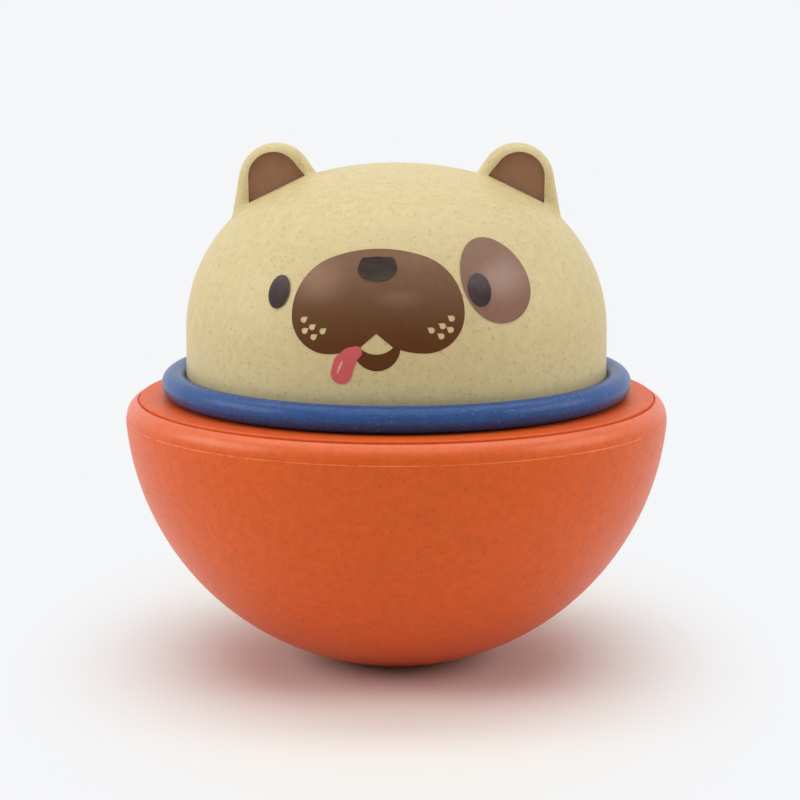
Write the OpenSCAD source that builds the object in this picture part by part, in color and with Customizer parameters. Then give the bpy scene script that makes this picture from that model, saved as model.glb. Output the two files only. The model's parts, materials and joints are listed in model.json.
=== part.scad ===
// Roly-poly baby toy: a weighted bowl, a turning dog head on its deck, and a chime inside.
// Millimetres, +Z up. The origin is the middle of the flat foot and the face looks along -Y.

/* [Bowl] */
// Outside diameter of the round bowl
bowl_d = 110; // [107:1:113]
// Diameter of the small flat foot under the bowl
foot_d = 16; // [13:1:18]
// Wall thickness of the bowl
bowl_wall = 2.6; // [2.2:0.1:3]
// Radius of the rounded rim
rim_round = 4; // [3:0.5:5]
// Width of the rim outside the deck's seam
rim_w = 2.6; // [2.2:0.1:3]
// Width of the ledge that carries the deck
ledge_w = 2; // [1.6:0.1:2.4]

/* [Deck] */
// Thickness of the deck
deck_t = 2.6; // [2.2:0.1:3]
// How far the deck's top stands above the bowl's centre
deck_rise = 0.15; // [0.1:0.05:0.2]
// Shadow gap between the deck's edge and the rim
seam_gap = 0.35; // [0.25:0.05:0.5]
// Depth of the shadow gap, from the deck's top to its shoulder
seam_depth = 0.8; // [0.6:0.1:1]
// Gap between the deck's shoulder and its seat in the bowl
deck_fit = 0.1; // [0.08:0.02:0.14]
// Rounding of the deck's top edge
deck_edge_r = 0.3; // [0.2:0.05:0.4]
// Depth of the deck's snap skirt below the deck
skirt_h = 8; // [7:0.5:9]
// Thickness of the snap skirt
skirt_t = 1.8; // [1.5:0.1:2.2]
// Depth of the snap bead below the deck's top
snap_drop = 7; // [6:0.5:8]
// Radius of the snap bead
snap_r = 0.8; // [0.6:0.1:0.9]
// Count of stiffening ribs under the deck
deck_ribs = 6; // [4:1:8]
// Thickness of a stiffening rib
rib_t = 1.6; // [1.4:0.1:2]
// Depth of a stiffening rib
rib_h = 3.5; // [3:0.5:4.5]

/* [Head] */
// Diameter of the head at its base
head_d = 85; // [83:1:87]
// Height of the crown above the deck
head_h = 47; // [46:0.5:49]
// Radius of the crown's broad curve
crown_r = 65; // [62:0.5:68]
// Radius of the shoulder between crown and side
shoulder_r = 31.3; // [30:0.1:32.5]
// Wall thickness of the head
head_wall = 2.4; // [2:0.1:2.8]
// Distance of a screw boss from the floor's edge
head_boss_inset = 5.4; // [5:0.2:7]
// Height of a screw boss above the head's floor
head_boss_h = 14; // [12:1:16]

/* [Ears] */
// Radius of an ear's round top
ear_r = 7.45; // [7:0.05:8.5]
// Distance of an ear's centre from the head's axis
ear_x = 24.2; // [23.6:0.1:24.8]
// How far an ear's centre lies below the crown
ear_drop = 3.15; // [2.85:0.05:3.45]
// How far an ear leans outwards, in degrees
ear_lean = 12; // [10:1:14]
// How far an ear's straight sides spread from its middle line, in degrees
ear_flare = 22; // [20:1:24]
// Thickness of an ear
ear_t = 6; // [5:0.5:7]
// Rounding of an ear's edge
ear_edge_r = 1.2; // [0.8:0.1:1.3]
// How much smaller the inner ear's round top is than the ear's
ear_rim = 2.35; // [2.3:0.05:2.6]
// How far the inner ear's centre lies above the ear's
ear_field_lift = 0.9; // [0.7:0.1:1]
// How far the inner ear's centre lies outside the ear's
ear_field_out = 0.4; // [0.2:0.1:0.5]
// How far the inner ear leans outwards, in degrees
ear_field_lean = 20; // [18:1:22]
// How far the inner ear's straight sides spread from its middle line, in degrees
ear_field_flare = 19; // [17:1:21]
// How far the inner ear's straight sill lies below the ear's centre
ear_sill_drop = 1.5; // [1.2:0.05:1.8]
// Slope of the sill, down and outwards, in degrees
ear_sill_slope = 26; // [22:1:30]
// Depth of the inner ear
ear_dish = 0.9; // [0.6:0.1:1.2]

/* [Collar and head floor] */
// Outside diameter of the collar
collar_d = 95; // [94.4:0.2:95.6]
// Diameter of the collar's round section
collar_section_d = 5.3; // [5.1:0.1:5.5]
// Gap between the collar and the head's side
collar_gap = 0.2; // [0.1:0.05:0.4]
// Running gap between the collar and the deck
collar_lift = 0.2; // [0.15:0.05:0.3]
// Height of the head's floor above the bush's seat
run_gap = 0.6; // [0.4:0.1:0.9]
// Thickness of the collar's clamped flange
flange_t = 2; // [1.6:0.1:2.4]
// How far the flange reaches in past the head's wall
flange_reach = 1.5; // [1.2:0.1:1.8]
// Thickness of the floor's lip under the flange
floor_lip_t = 1.2; // [1:0.1:1.4]
// Thickness of the head's floor
floor_t = 3.4; // [3.3:0.1:4]

/* [Spindle] */
// Diameter of the spindle that the head turns on
spindle_d = 12; // [10:0.5:14]
// Height of the spindle's boss inside the head
spindle_boss_h = 8; // [6:0.5:10]
// Thickness left above the spindle's screw hole
spindle_cap_t = 1; // [0.8:0.1:1.5]
// Wall of the bush around the spindle
bush_t = 1.6; // [1.4:0.1:2]
// Length of the bush below the deck's top
bush_l = 7; // [6:0.5:8]
// Diameter of the bush's thrust flange
bush_flange_d = 22; // [20:1:26]
// Wall of the deck's hub around the bush
hub_t = 3; // [2.5:0.5:4]
// End play of the spindle
spindle_play = 0.3; // [0.2:0.05:0.4]
// Thickness of the retaining washer
washer_t = 1; // [0.8:0.1:1.4]
// Diameter of the retaining washer
washer_d = 18; // [17:0.5:20]

/* [Ballast] */
// Height of the ballast's flat top above the foot
ballast_top = 12; // [11:0.5:13]
// Clearance between the ballast and the bowl
ballast_gap = 0.25; // [0.2:0.05:0.4]
// Distance of a ballast boss from the axis
ballast_boss_x = 21; // [20:0.5:23]
// Diameter of a ballast boss
ballast_boss_d = 6.8; // [6:0.2:7.6]

/* [Chime] */
// Diameter of the chime plate
plate_d = 56; // [52:1:58]
// Thickness of the chime plate
plate_t = 1.6; // [1.4:0.1:2]
// Diameter of a chime rod
rod_d = 3; // [2.6:0.1:3.4]
// Height of the shortest chime rod above the plate
rod_h = 12; // [11:0.5:13]
// Difference in height from one chime rod to the next
rod_step = 2; // [1:0.5:2.5]
// Diameter of the clapper's ball
ball_d = 10; // [9:0.5:11]
// Clearance between the hanging ball and the plate
ball_clear = 1.5; // [1.2:0.1:2]
// Swing of the clapper to each side, in degrees
swing = 18; // [14:1:20]
// Gap between the ball and a rod at the end of its swing
strike_gap = 0.3; // [0.2:0.05:0.5]
// Distance of a bridge leg from the axis
leg_x = 18; // [16:0.5:20]
// Width of the bridge's strip
strip_w = 8; // [7:0.5:9]
// Thickness of the bridge's strip
strip_t = 2; // [1.6:0.1:2.4]
// Length of a bridge foot
bridge_foot_l = 7; // [6.5:0.5:8]
// Wall of the bridge's ring around the gimbal
ring_t = 2.5; // [2:0.1:3]
// Gap between the clapper's fork and the bridge's ring
ring_gap = 1.8; // [1.6:0.1:2.2]
// Clearance between the gimbal and the spindle's screw
gimbal_clear = 1.1; // [1:0.1:2]
// Side of the gimbal block
block_w = 6; // [5.5:0.5:6.5]
// Diameter of a gimbal pin
pin_d = 2; // [1.8:0.1:2.2]
// Thickness of the clapper fork's cheeks
cheek_t = 2.2; // [2:0.1:2.6]
// Side gap between the gimbal block and the fork
side_gap = 0.3; // [0.25:0.05:0.4]
// Clearance between the gimbal block's corners and the fork
fork_clear = 1; // [0.8:0.1:1.2]
// Diameter of the clapper's stem
stem_d = 2.4; // [2:0.1:2.8]

/* [Screws and fits] */
// Shank diameter of the small screws
screw_d = 2.8; // [2.4:0.1:3]
// Head diameter of the small screws
screw_head_d = 5.6; // [5:0.1:6]
// Head height of the small screws
screw_head_h = 1.8; // [1.6:0.1:2]
// Grip length of the small screws in their bosses
screw_grip = 7; // [6:0.5:7.5]
// Gap between a screw's end and the end of its hole
screw_end_gap = 1; // [0.5:0.1:1.5]
// Wall of a boss around its screw
boss_wall = 1.8; // [1.5:0.1:2]
// Shank diameter of the spindle's screw
spindle_screw_d = 3.5; // [3:0.1:4]
// Head diameter of the spindle's screw
spindle_screw_head_d = 7; // [6.4:0.2:8]
// Head height of the spindle's screw
spindle_screw_head_h = 2; // [1.8:0.1:2.4]
// Radial running clearance of a shaft in its bore
run_fit = 0.05; // [0.03:0.01:0.08]
// Radial clearance of a fixed fit
press_fit = 0.02; // [0.01:0.01:0.04]
// Radial clearance of a loose hole
hole_fit = 0.2; // [0.1:0.05:0.3]

/* [Face print] */
// Thickness of one printed layer
film_t = 0.06; // [0.05:0.01:0.1]
// Clearance under a printed layer
film_lift = 0.02; // [0.02:0.01:0.03]
// Lean of the whole print on the head, in degrees
print_lean = 1.2; // [0:0.2:2]
// Turn of the whole print about the head's axis, in degrees
print_turn = -5.4; // [-8:0.2:0]
// Height of the print's middle above the deck
face_z = 23.6; // [22:0.5:25]
// Half width of the muzzle
muzzle_w = 16.7; // [16:0.1:17.4]
// Height of the muzzle's widest level above the print's middle
muzzle_z = -1.4; // [-2:0.1:-1]
// Radius of the muzzle's upper curve
muzzle_top_r = 27; // [25:0.5:29]
// Radius of the muzzle's sides above its widest level
cheek_r = 11.5; // [11:0.1:12]
// Radius of a jowl
jowl_r = 7; // [6.6:0.1:7.4]
// Radius of the flat curve from a jowl's foot to the lip
jowl_inner_r = 16; // [14:0.5:18]
// Depth of the cleft's tip below the print's middle
cleft_z = 4.4; // [4:0.1:4.8]
// Half width of the cleft between the lips
lip_x = 3.1; // [2.8:0.1:3.4]
// Depth of the lips below the print's middle
lip_z = 7; // [6.7:0.1:7.3]
// Radius of a whisker dot
dot_r = 0.6; // [0.5:0.05:0.7]
// Length of a whisker dot's tail from the dot's centre
dot_tail = 1.05; // [0.9:0.05:1.2]
// Lean of a whisker dot's tail towards the middle, in degrees
dot_lean = 55; // [45:1:65]
// Distance of an eye from the middle
eye_x = 19.4; // [18.8:0.1:20]
// Height of an eye above the print's middle
eye_z = 2.85; // [2.5:0.05:3.5]
// Half height of an eye
eye_h = 3.2; // [2.9:0.1:3.5]
// Half width of an eye
eye_w = 2.05; // [1.9:0.05:2.3]
// Lean of an eye towards the middle, in degrees
eye_lean = 19; // [15:1:23]
// Distance of the eye patch from the middle
patch_x = 22; // [21.5:0.1:22.5]
// Height of the eye patch above the print's middle
patch_z = 4.3; // [3.9:0.1:4.7]
// Half width of the eye patch
patch_w = 5.5; // [5.1:0.1:5.9]
// Half height of the eye patch
patch_h = 8.7; // [8.3:0.1:9.1]
// Share by which the eye patch narrows at its top and widens at its foot
patch_taper = 0.11; // [0.05:0.01:0.15]
// Lean of the eye patch towards the middle, in degrees
patch_lean = 32; // [28:1:36]
// Height of the nose above the print's middle
nose_z = 7.4; // [7:0.1:8]
// Half width of the nose
nose_w = 3.8; // [3.6:0.05:4]
// Half height of the nose
nose_h = 2.25; // [2.1:0.05:2.4]
// Radius of the nose's upper corners
nose_r = 1.15; // [1:0.05:1.3]
// Distance of the nose's upper corners from the middle
nose_x = 2.35; // [2.2:0.05:2.5]
// Height of the nose's upper corners above its middle
nose_brow = 0.95; // [0.85:0.05:1.05]
// Radius of the lower lip's curves
mouth_r = 4.6; // [4.3:0.1:4.9]
// Thickness of the lower lip
mouth_t = 3.2; // [2.9:0.1:3.5]
// Radius of the tongue's tip
tongue_r = 2.05; // [1.9:0.05:2.2]
// Distance of the tongue's root from the middle
tongue_x = 3.9; // [3.6:0.1:4.2]
// Depth of the tongue's root below the print's middle
tongue_z = 7.9; // [7.6:0.1:8.2]
// Half width of the streak of light on the tongue
shine_w = 0.27; // [0.2:0.01:0.35]
// Half length of the streak of light on the tongue
shine_h = 1.4; // [1.2:0.1:1.6]
// Lean of the streak of light, in degrees
shine_lean = 24; // [18:1:30]

/* [Hidden] */
$fn = 96;
film_fn = 240;
over = 1;
bowl_r = bowl_d / 2;
deck_z = sqrt(bowl_r * bowl_r - foot_d * foot_d / 4);
seam_r = bowl_r - rim_w;
deck_r = seam_r - seam_gap;
skirt_bore_r = seam_r - ledge_w;
skirt_r = skirt_bore_r - hole_fit;
cavity_r = bowl_r - bowl_wall;
rim_x = sqrt(pow(bowl_r - rim_round, 2) - rim_round * rim_round);
rim_tangent_drop = rim_round * bowl_r / (bowl_r - rim_round);
head_r = head_d / 2;
shoulder_x = head_r - shoulder_r;
crown_z = head_h - crown_r;
shoulder_z = crown_z + sqrt(pow(crown_r - shoulder_r, 2) - shoulder_x * shoulder_x);
crown_angle = atan2(shoulder_z - crown_z, shoulder_x);
ear_z = head_h - ear_drop;
jowl_x = muzzle_w - jowl_r;
collar_r = collar_section_d / 2;
collar_x = collar_d / 2 - collar_r;
collar_z = deck_rise + collar_lift + collar_r;
flange_z = run_gap + floor_lip_t;
head_base = flange_z + flange_t;
floor_top = run_gap + floor_t;
flange_bore_r = head_r - head_wall - flange_reach;
floor_plug_r = flange_bore_r - hole_fit;
head_boss_x = floor_plug_r - head_boss_inset;
boss_r = screw_d / 2 + boss_wall;
spindle_r = spindle_d / 2;
spindle_end = -bush_l - spindle_play;
bush_bore_r = spindle_r + run_fit;
bush_r = bush_bore_r + bush_t;
spindle_screw_end = spindle_end - washer_t - spindle_screw_head_h;
spindle_hole_l = floor_top + spindle_boss_h - spindle_end - spindle_cap_t;
spindle_screw_l = spindle_hole_l - screw_end_gap + washer_t;
plate_top = ballast_top + plate_t;
gimbal_rise = block_w / sqrt(2);
pivot_z = deck_z + spindle_screw_end - gimbal_clear - gimbal_rise;
clapper_l = pivot_z - plate_top - ball_clear - ball_d / 2;
reach_x = clapper_l * sin(swing);
reach_y = clapper_l * cos(swing) * sin(swing);
rod_x = norm([reach_x, reach_y]) + ball_d / 2 + rod_d / 2 + strike_gap;
fork_x = block_w / 2 + side_gap;
fork_drop = gimbal_rise + fork_clear;
ring_r = fork_x + cheek_t + ring_gap;
cream = [0.86, 0.79, 0.62];
orange = [0.82, 0.38, 0.23];
blue = [0.30, 0.42, 0.60];
brown = [0.45, 0.32, 0.24];
dark_brown = [0.32, 0.20, 0.12];
taupe = [0.62, 0.52, 0.45];
ink_black = [0.26, 0.21, 0.21];
pink = [0.74, 0.35, 0.35];
pale_pink = [0.86, 0.55, 0.55];
steel = [0.72, 0.73, 0.75];
iron = [0.35, 0.35, 0.36];
nylon = [0.90, 0.89, 0.85];
wood = [0.78, 0.62, 0.42];

// Places copies around the axis, the first one at the back of the toy
module around(count, x) {
  for (i = [0 : count - 1])
    rotate([0, 0, 90 + i * 360 / count])
      translate([x, 0, 0])
        children();
}

// A pan-head screw that points up from the seat of its head
module pan_screw(shank_d, head_d, head_h, length) {
  difference() {
    union() {
      cylinder(d = shank_d, h = length);
      translate([0, 0, -head_h])
        cylinder(d = head_d, h = head_h);
    }
    for (turn = [0, 90])
      rotate([0, 0, turn])
        translate([-head_d * 0.3, -head_d * 0.06, -head_h - over])
          cube([head_d * 0.6, head_d * 0.12, head_h * 0.55 + over]);
  }
}

module small_screw(length) {
  pan_screw(screw_d, screw_head_d, screw_head_h, length);
}

// Half outline of the bowl's outside, from the flat foot to the rounded rim
module bowl_outline() {
  intersection() {
    translate([0, deck_z])
      circle(r = bowl_r);
    square([bowl_r, deck_z - rim_tangent_drop]);
  }
  intersection() {
    translate([rim_x, deck_z - rim_round])
      circle(r = rim_round);
    square([bowl_d, bowl_d]);
  }
  translate([0, deck_z - 2 * rim_tangent_drop])
    square([rim_x, 2 * rim_tangent_drop]);
}

// Half outline of the hollow: round below, a straight bore at the skirt and a seat for the deck
module bowl_hollow() {
  intersection() {
    translate([0, deck_z])
      circle(r = cavity_r);
    square([skirt_bore_r, deck_z]);
  }
  translate([0, deck_z - deck_t])
    square([seam_r, deck_t + over]);
  intersection() {
    translate([skirt_bore_r, deck_z - snap_drop])
      circle(r = snap_r + hole_fit);
    square([bowl_d, bowl_d]);
  }
}

module bowl() {
  color(orange)
    difference() {
      union() {
        rotate_extrude()
          difference() {
            bowl_outline();
            bowl_hollow();
          }
        intersection() {
          around(3, ballast_boss_x)
            cylinder(d = ballast_boss_d, h = ballast_top);
          translate([0, 0, deck_z])
            sphere(r = bowl_r - bowl_wall / 2);
        }
      }
      around(3, ballast_boss_x)
        translate([0, 0, ballast_top - screw_grip])
          cylinder(r = screw_d / 2 + press_fit, h = screw_grip + over);
    }
}

// Half outline of the deck's plate, with the shoulder under the shadow gap and the rounded edge
module deck_outline() {
  translate([0, -deck_t])
    square([seam_r - deck_fit, deck_t + deck_rise - seam_depth]);
  translate([0, -deck_t])
    square([deck_r, deck_t + deck_rise - deck_edge_r]);
  translate([0, -deck_t])
    square([deck_r - deck_edge_r, deck_t + deck_rise]);
  translate([deck_r - deck_edge_r, deck_rise - deck_edge_r])
    circle(r = deck_edge_r);
}

// Half outline of the snap skirt with its bead
module skirt_outline() {
  translate([skirt_r - skirt_t, -deck_t - skirt_h])
    square([skirt_t, skirt_h + deck_t / 2]);
  translate([skirt_r, -snap_drop])
    circle(r = snap_r);
}

module deck() {
  hub_r = bush_r + press_fit + hub_t;
  color(orange)
    translate([0, 0, deck_z])
      difference() {
        union() {
          rotate_extrude()
            deck_outline();
          rotate_extrude()
            skirt_outline();
          translate([0, 0, -bush_l])
            cylinder(r = hub_r, h = bush_l - deck_t / 2);
          around(deck_ribs, 0)
            translate([hub_r - over, -rib_t / 2, -deck_t - rib_h])
              cube([skirt_r - skirt_t / 2 - hub_r + over, rib_t, rib_h + deck_t / 2]);
        }
        translate([0, 0, -bush_l - over])
          cylinder(r = bush_r + press_fit, h = bush_l + 2 * over);
        cylinder(r = bush_flange_d / 2 + hole_fit, h = deck_rise + over);
      }
}

module head_bush() {
  color(nylon)
    translate([0, 0, deck_z])
      difference() {
        union() {
          translate([0, 0, -bush_l])
            cylinder(r = bush_r, h = bush_l + run_gap / 2);
          cylinder(d = bush_flange_d, h = run_gap);
        }
        translate([0, 0, -bush_l - over])
          cylinder(r = bush_bore_r, h = bush_l + run_gap + 2 * over);
      }
}

module ballast() {
  color(iron)
    difference() {
      intersection() {
        translate([0, 0, deck_z])
          sphere(r = cavity_r - ballast_gap);
        cylinder(r = bowl_r, h = ballast_top);
      }
      around(3, ballast_boss_x)
        translate([0, 0, -over])
          cylinder(r = ballast_boss_d / 2 + hole_fit, h = ballast_top + 2 * over);
    }
}

module ballast_screws() {
  color(steel)
    around(3, ballast_boss_x)
      translate([0, 0, plate_top])
        rotate([180, 0, 0])
          small_screw(screw_grip + plate_t - screw_end_gap);
}

module at_bridge_feet() {
  for (side = [-1, 1])
    translate([side * (leg_x + strip_t + bridge_foot_l / 2), 0, 0])
      children();
}

// Places a piece on one of the four diagonals where the rods stand
module at_rod(index) {
  rotate([0, 0, 45 + 90 * index])
    translate([rod_x, 0, 0])
      children();
}

module chime_plate() {
  color(steel)
    translate([0, 0, ballast_top])
      difference() {
        cylinder(d = plate_d, h = plate_t);
        translate([0, 0, -over]) {
          around(3, ballast_boss_x)
            cylinder(r = screw_d / 2 + hole_fit, h = plate_t + 2 * over);
          for (index = [0 : 3])
            at_rod(index)
              cylinder(r = rod_d / 2 + press_fit, h = plate_t + 2 * over);
          at_bridge_feet()
            cylinder(r = screw_d / 2 + press_fit, h = plate_t + 2 * over);
        }
      }
}

module chime_rod(index) {
  color(steel)
    at_rod(index)
      translate([0, 0, ballast_top])
        cylinder(d = rod_d, h = plate_t + rod_h + rod_step * index);
}

// A strip on two legs with feet, whose middle opens into a ring that carries the gimbal
module chime_bridge() {
  bar_t = 2 * pin_d;
  color(nylon)
    difference() {
      union() {
        for (side = [0, 1])
          mirror([side, 0, 0])
            translate([leg_x, -strip_w / 2, plate_top]) {
              cube([strip_t, strip_w, pivot_z + bar_t / 2 - plate_top]);
              cube([strip_t + bridge_foot_l, strip_w, strip_t]);
            }
        translate([-leg_x - strip_t / 2, -strip_w / 2, pivot_z - bar_t / 2])
          cube([2 * leg_x + strip_t, strip_w, bar_t]);
        translate([0, 0, pivot_z - bar_t / 2])
          cylinder(r = ring_r + ring_t, h = bar_t);
      }
      translate([0, 0, pivot_z - bar_t / 2 - over])
        cylinder(r = ring_r, h = bar_t + 2 * over);
      translate([-ring_r - ring_t - over, 0, pivot_z])
        rotate([0, 90, 0])
          cylinder(r = pin_d / 2 + press_fit, h = 2 * (ring_r + ring_t + over));
      at_bridge_feet()
        translate([0, 0, plate_top - over])
          cylinder(r = screw_d / 2 + hole_fit, h = strip_t + 2 * over);
    }
}

module bridge_screws() {
  color(steel)
    at_bridge_feet()
      translate([0, 0, plate_top + strip_t])
        rotate([180, 0, 0])
          small_screw(strip_t + plate_t);
}

// One pair of short pins along X that enter the gimbal block and end at a given distance
module pin_pair(end) {
  for (side = [-1, 1])
    rotate([0, side * 90, 0])
      translate([0, 0, block_w / 4])
        cylinder(d = pin_d, h = end - block_w / 4);
}

module gimbal_pins() {
  color(steel)
    translate([0, 0, pivot_z])
      pin_pair(ring_r + ring_t);
}

module clapper_pins() {
  color(steel)
    translate([0, 0, pivot_z])
      rotate([0, 0, 90])
        pin_pair(fork_x + cheek_t);
}

module gimbal_block() {
  hole_l = block_w / 4 + run_fit;
  color(nylon)
    translate([0, 0, pivot_z])
      difference() {
        cube(block_w, center = true);
        for (turn = [0 : 90 : 270])
          rotate([0, 0, turn])
            translate([block_w / 2 - hole_l, 0, 0])
              rotate([0, 90, 0])
                cylinder(r = pin_d / 2 + run_fit, h = hole_l + over);
      }
}

// Fork that straddles the gimbal block, with the stem that carries the ball
module clapper_fork() {
  stem_l = clapper_l - fork_drop;
  color(nylon)
    translate([0, 0, pivot_z])
      difference() {
        union() {
          for (side = [0, 1])
            mirror([0, side, 0])
              translate([0, fork_x, 0]) {
                rotate([-90, 0, 0])
                  cylinder(r = pin_d, h = cheek_t);
                translate([-pin_d * 0.7, 0, -fork_drop - cheek_t])
                  cube([pin_d * 1.4, cheek_t, fork_drop + cheek_t]);
              }
          translate([-pin_d * 0.7, -fork_x - cheek_t, -fork_drop - cheek_t])
            cube([pin_d * 1.4, 2 * (fork_x + cheek_t), cheek_t]);
          translate([0, 0, -clapper_l])
            cylinder(d = stem_d, h = stem_l - cheek_t / 2);
        }
        translate([0, -leg_x, 0])
          rotate([-90, 0, 0])
            cylinder(r = pin_d / 2 + press_fit, h = 2 * leg_x);
      }
}

module clapper_ball() {
  color(wood)
    translate([0, 0, pivot_z - clapper_l])
      difference() {
        sphere(d = ball_d);
        cylinder(r = stem_d / 2 + press_fit, h = ball_d);
      }
}

// Half outline of the head's dome, grown outwards, standing on a given height
module dome_outline(grow, base) {
  far = 2 * crown_r;
  intersection() {
    union() {
      intersection() {
        translate([0, crown_z])
          circle(r = crown_r + grow);
        polygon([[0, crown_z], [far * cos(crown_angle), crown_z + far * sin(crown_angle)],
          [0, crown_z + far]]);
      }
      intersection() {
        translate([shoulder_x, shoulder_z])
          circle(r = shoulder_r + grow);
        translate([0, shoulder_z])
          square([far, far]);
      }
      translate([0, base])
        square([head_r + grow, shoulder_z - base]);
    }
    translate([0, base])
      square([far, far]);
  }
}

module dome(grow, base) {
  rotate_extrude()
    dome_outline(grow, base);
}

// Half section of an ear's plate with its rounded edge
module ear_section() {
  translate([0, -ear_t / 2])
    square([ear_r - ear_edge_r, ear_t]);
  translate([0, ear_edge_r - ear_t / 2])
    square([ear_r, ear_t - 2 * ear_edge_r]);
  for (side = [-1, 1])
    translate([ear_r - ear_edge_r, side * (ear_t / 2 - ear_edge_r)])
      circle(r = ear_edge_r);
}

// Stands a shape drawn in the front view upright at one ear's centre
module at_ear(side) {
  translate([side * ear_x, 0, ear_z])
    rotate([90, 0, 0])
      children();
}

// One ear, upright: a round top with straight sides that spread and run down into the dome
module ear() {
  side_l = 2 * ear_r;
  foot = side_l * [sin(ear_flare), -cos(ear_flare)];
  rotate(ear_flare)
    rotate_extrude(angle = 180 - 2 * ear_flare)
      ear_section();
  for (side = [0, 1])
    mirror([side, 0, 0])
      rotate([90, 0, ear_flare])
        linear_extrude(side_l)
          ear_section();
  translate([0, 0, -ear_t / 2])
    linear_extrude(ear_t)
      polygon([[0, 0], [-foot[0], foot[1]], foot]);
}

// Flat outline of a round top with straight sides that spread on their way down
module arch(r, flare) {
  reach = 2 * r;
  touch = [r * cos(flare), r * sin(flare)];
  foot = touch + reach * [sin(flare), -cos(flare)];
  circle(r = r);
  polygon([touch, [-touch[0], touch[1]], [-foot[0], foot[1]], foot]);
}

// The dished field of an ear between two depths measured from the ear's middle
module ear_field(side, low, high, inset) {
  at_ear(side)
    translate([0, 0, low])
      linear_extrude(high - low)
        intersection() {
          translate([side * ear_field_out, ear_field_lift])
            rotate(-side * ear_field_lean)
              arch(ear_r - ear_rim - inset, ear_field_flare);
          rotate(-side * ear_sill_slope)
            translate([-2 * ear_r, inset - ear_sill_drop])
              square(4 * ear_r);
        }
}

module head_shell() {
  dish_floor = ear_t / 2 - ear_dish;
  color(cream)
    translate([0, 0, deck_z])
      difference() {
        union() {
          difference() {
            union() {
              dome(0, head_base);
              for (side = [-1, 1])
                at_ear(side)
                  rotate(-side * ear_lean)
                    ear();
            }
            dome(-head_wall, head_base - over);
            for (side = [-1, 1])
              ear_field(side, dish_floor, ear_t, 0);
          }
          intersection() {
            around(3, 0)
              translate([0, 0, floor_top]) {
                translate([head_boss_x, 0, 0])
                  cylinder(r = boss_r, h = head_boss_h);
                translate([head_boss_x, -rib_t / 2, 0])
                  cube([head_r - head_boss_x, rib_t, head_boss_h]);
              }
            dome(-head_wall / 2, floor_top);
          }
        }
        around(3, head_boss_x)
          translate([0, 0, floor_top - over])
            cylinder(r = screw_d / 2 + press_fit, h = screw_grip + screw_end_gap + over);
      }
}

module collar() {
  color(blue)
    translate([0, 0, deck_z])
      rotate_extrude()
        difference() {
          union() {
            translate([collar_x, collar_z])
              circle(r = collar_r);
            translate([flange_bore_r, flange_z])
              square([collar_x - flange_bore_r, flange_t]);
          }
          translate([0, head_base])
            square([head_r + collar_gap, collar_section_d]);
        }
}

module head_floor() {
  head_seat = run_gap + screw_head_h + hole_fit;
  color(cream)
    translate([0, 0, deck_z])
      difference() {
        union() {
          translate([0, 0, run_gap])
            cylinder(r = floor_plug_r, h = floor_t);
          translate([0, 0, run_gap])
            cylinder(r = head_r - head_wall / 2, h = floor_lip_t);
          translate([0, 0, spindle_end])
            cylinder(r = spindle_r, h = floor_top + spindle_boss_h - spindle_end);
        }
        translate([0, 0, spindle_end - over])
          cylinder(r = spindle_screw_d / 2 + press_fit, h = spindle_hole_l + over);
        around(3, head_boss_x) {
          translate([0, 0, run_gap - over])
            cylinder(r = screw_head_d / 2 + hole_fit, h = head_seat - run_gap + over);
          cylinder(r = screw_d / 2 + hole_fit, h = floor_top + over);
        }
      }
}

module head_screws() {
  head_seat = run_gap + screw_head_h + hole_fit;
  color(steel)
    translate([0, 0, deck_z])
      around(3, head_boss_x)
        translate([0, 0, head_seat])
          small_screw(floor_top - head_seat + screw_grip);
}

module spindle_washer() {
  color(steel)
    translate([0, 0, deck_z + spindle_end - washer_t])
      difference() {
        cylinder(d = washer_d, h = washer_t);
        translate([0, 0, -over])
          cylinder(r = spindle_screw_d / 2 + hole_fit, h = washer_t + 2 * over);
      }
}

module spindle_screw() {
  color(steel)
    translate([0, 0, deck_z + spindle_end - washer_t])
      pan_screw(spindle_screw_d, spindle_screw_head_d, spindle_screw_head_h, spindle_screw_l);
}

// A printed layer: an outline in the front view, carried back onto the dome
module print_on_dome(layer) {
  low = film_lift + layer * (film_t + film_lift);
  $fn = film_fn;
  translate([0, 0, deck_z])
    intersection() {
      rotate_extrude()
        difference() {
          dome_outline(low + film_t, head_base);
          dome_outline(low, head_base - over);
        }
      rotate([90, 0, print_turn])
        linear_extrude(head_d)
          translate([0, face_z])
            rotate(print_lean)
              children();
    }
}

// The muzzle's outline: a broad curve and two cheeks over round jowls, with a cleft between them
module muzzle_outline() {
  cheek_x = muzzle_w - cheek_r;
  rise = sqrt(pow(muzzle_top_r - cheek_r, 2) - cheek_x * cheek_x);
  join = [cheek_x, rise] * muzzle_top_r / (muzzle_top_r - cheek_r) + [0, muzzle_z - rise];
  foot_z = muzzle_z - jowl_r;
  for (side = [0, 1])
    mirror([side, 0]) {
      translate([jowl_x, muzzle_z])
        circle(r = jowl_r);
      intersection() {
        translate([cheek_x, muzzle_z])
          circle(r = cheek_r);
        translate([0, muzzle_z])
          square(muzzle_w);
      }
      intersection() {
        translate([jowl_x, foot_z + jowl_inner_r])
          circle(r = jowl_inner_r);
        translate([lip_x, foot_z])
          square([jowl_x - lip_x, jowl_r]);
      }
    }
  intersection() {
    translate([0, muzzle_z - rise])
      circle(r = muzzle_top_r);
    translate([-join[0], join[1]])
      square([2 * join[0], muzzle_top_r]);
  }
  polygon([[0, -cleft_z], [lip_x, -lip_z], [jowl_x, muzzle_z], join,
    [-join[0], join[1]], [-jowl_x, muzzle_z], [-lip_x, -lip_z]]);
}

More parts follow.
